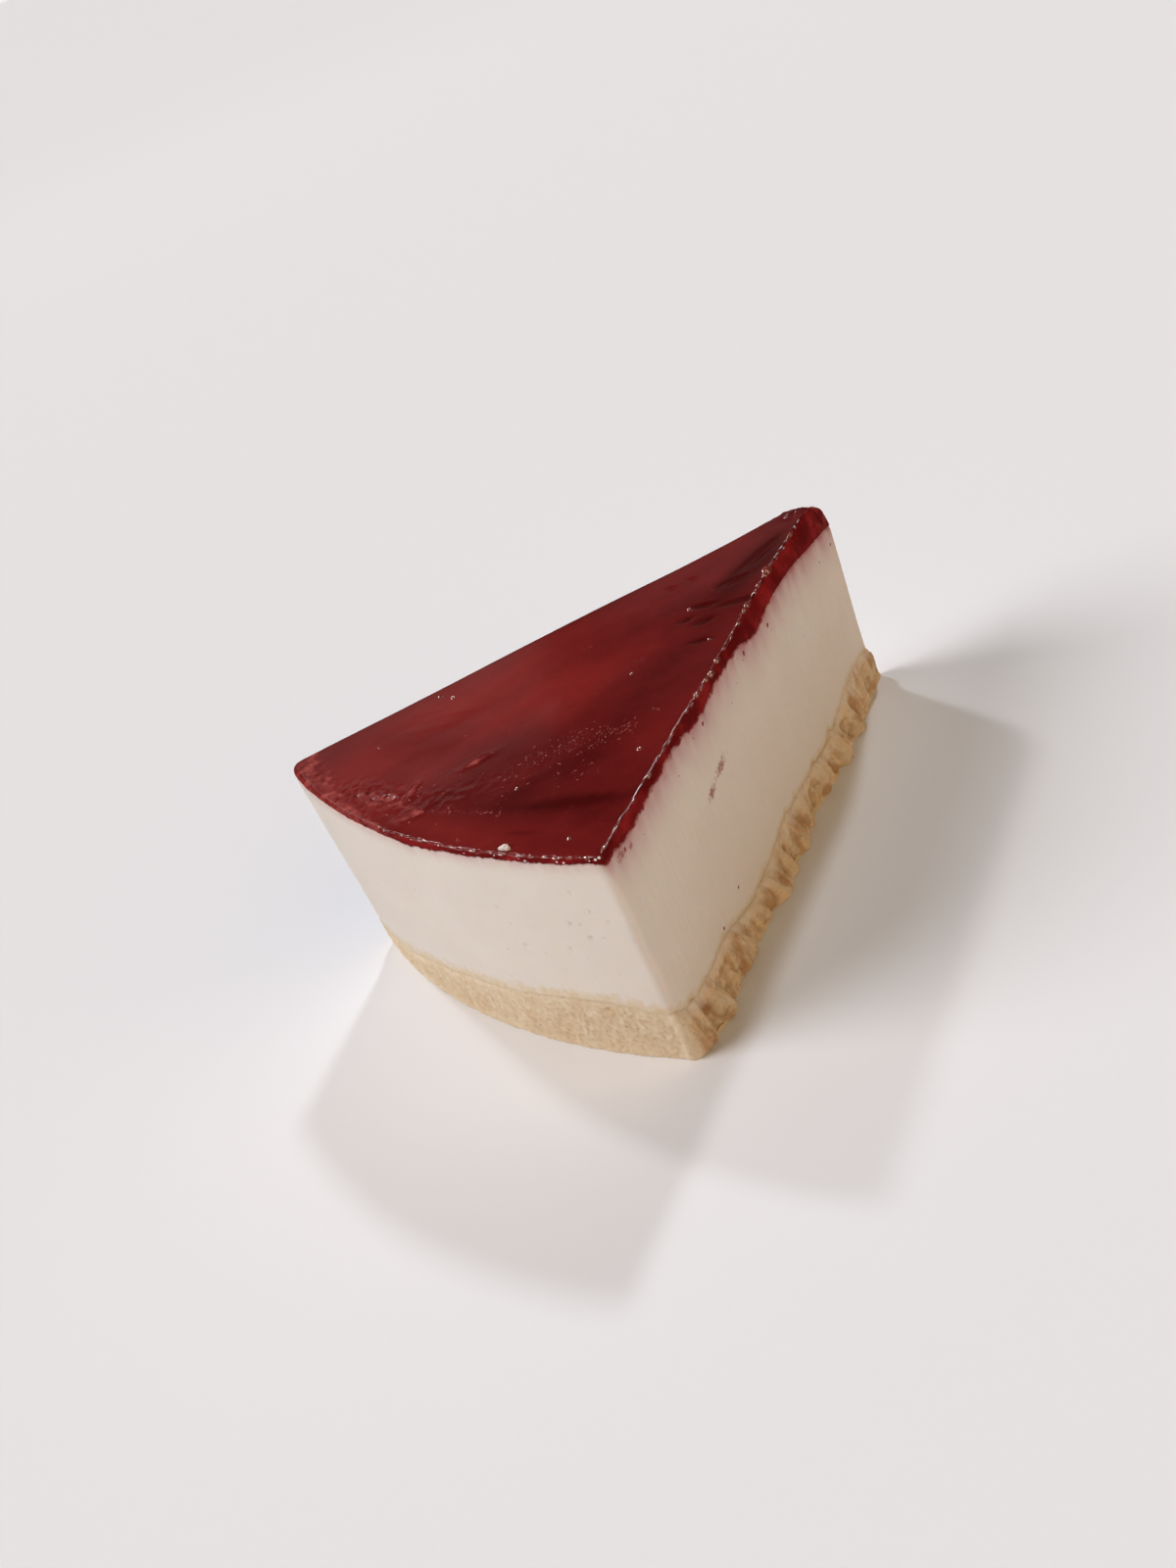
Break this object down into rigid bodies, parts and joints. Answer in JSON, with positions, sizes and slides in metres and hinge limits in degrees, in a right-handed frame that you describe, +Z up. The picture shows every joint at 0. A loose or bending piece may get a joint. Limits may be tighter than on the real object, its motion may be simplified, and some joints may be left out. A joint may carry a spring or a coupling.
{
  "type": "raspberry cheesecake slice",
  "caption": "Wedge of set cheesecake with a crumbly biscuit base, a pale cream cheese filling and a glossy dark red raspberry jelly top.",
  "frame": {"origin": "middle of the box that holds the slice, at the level of the flat underside", "axes": "+Z up, +Y from the rim towards the tip, +X towards the cut that the picture shows"},
  "size_m": [0.0842, 0.1186, 0.0441],
  "materials": {
    "biscuit_crumb": "dry pressed crumb",
    "cream_cheese": "smooth satin cream",
    "raspberry_gel": "wet gloss"
  },
  "bodies": {
    "root": {"biscuit_base": "biscuit_crumb", "cream_filling": "cream_cheese", "raspberry_jelly": "raspberry_gel"}
  },
  "joints": []
}
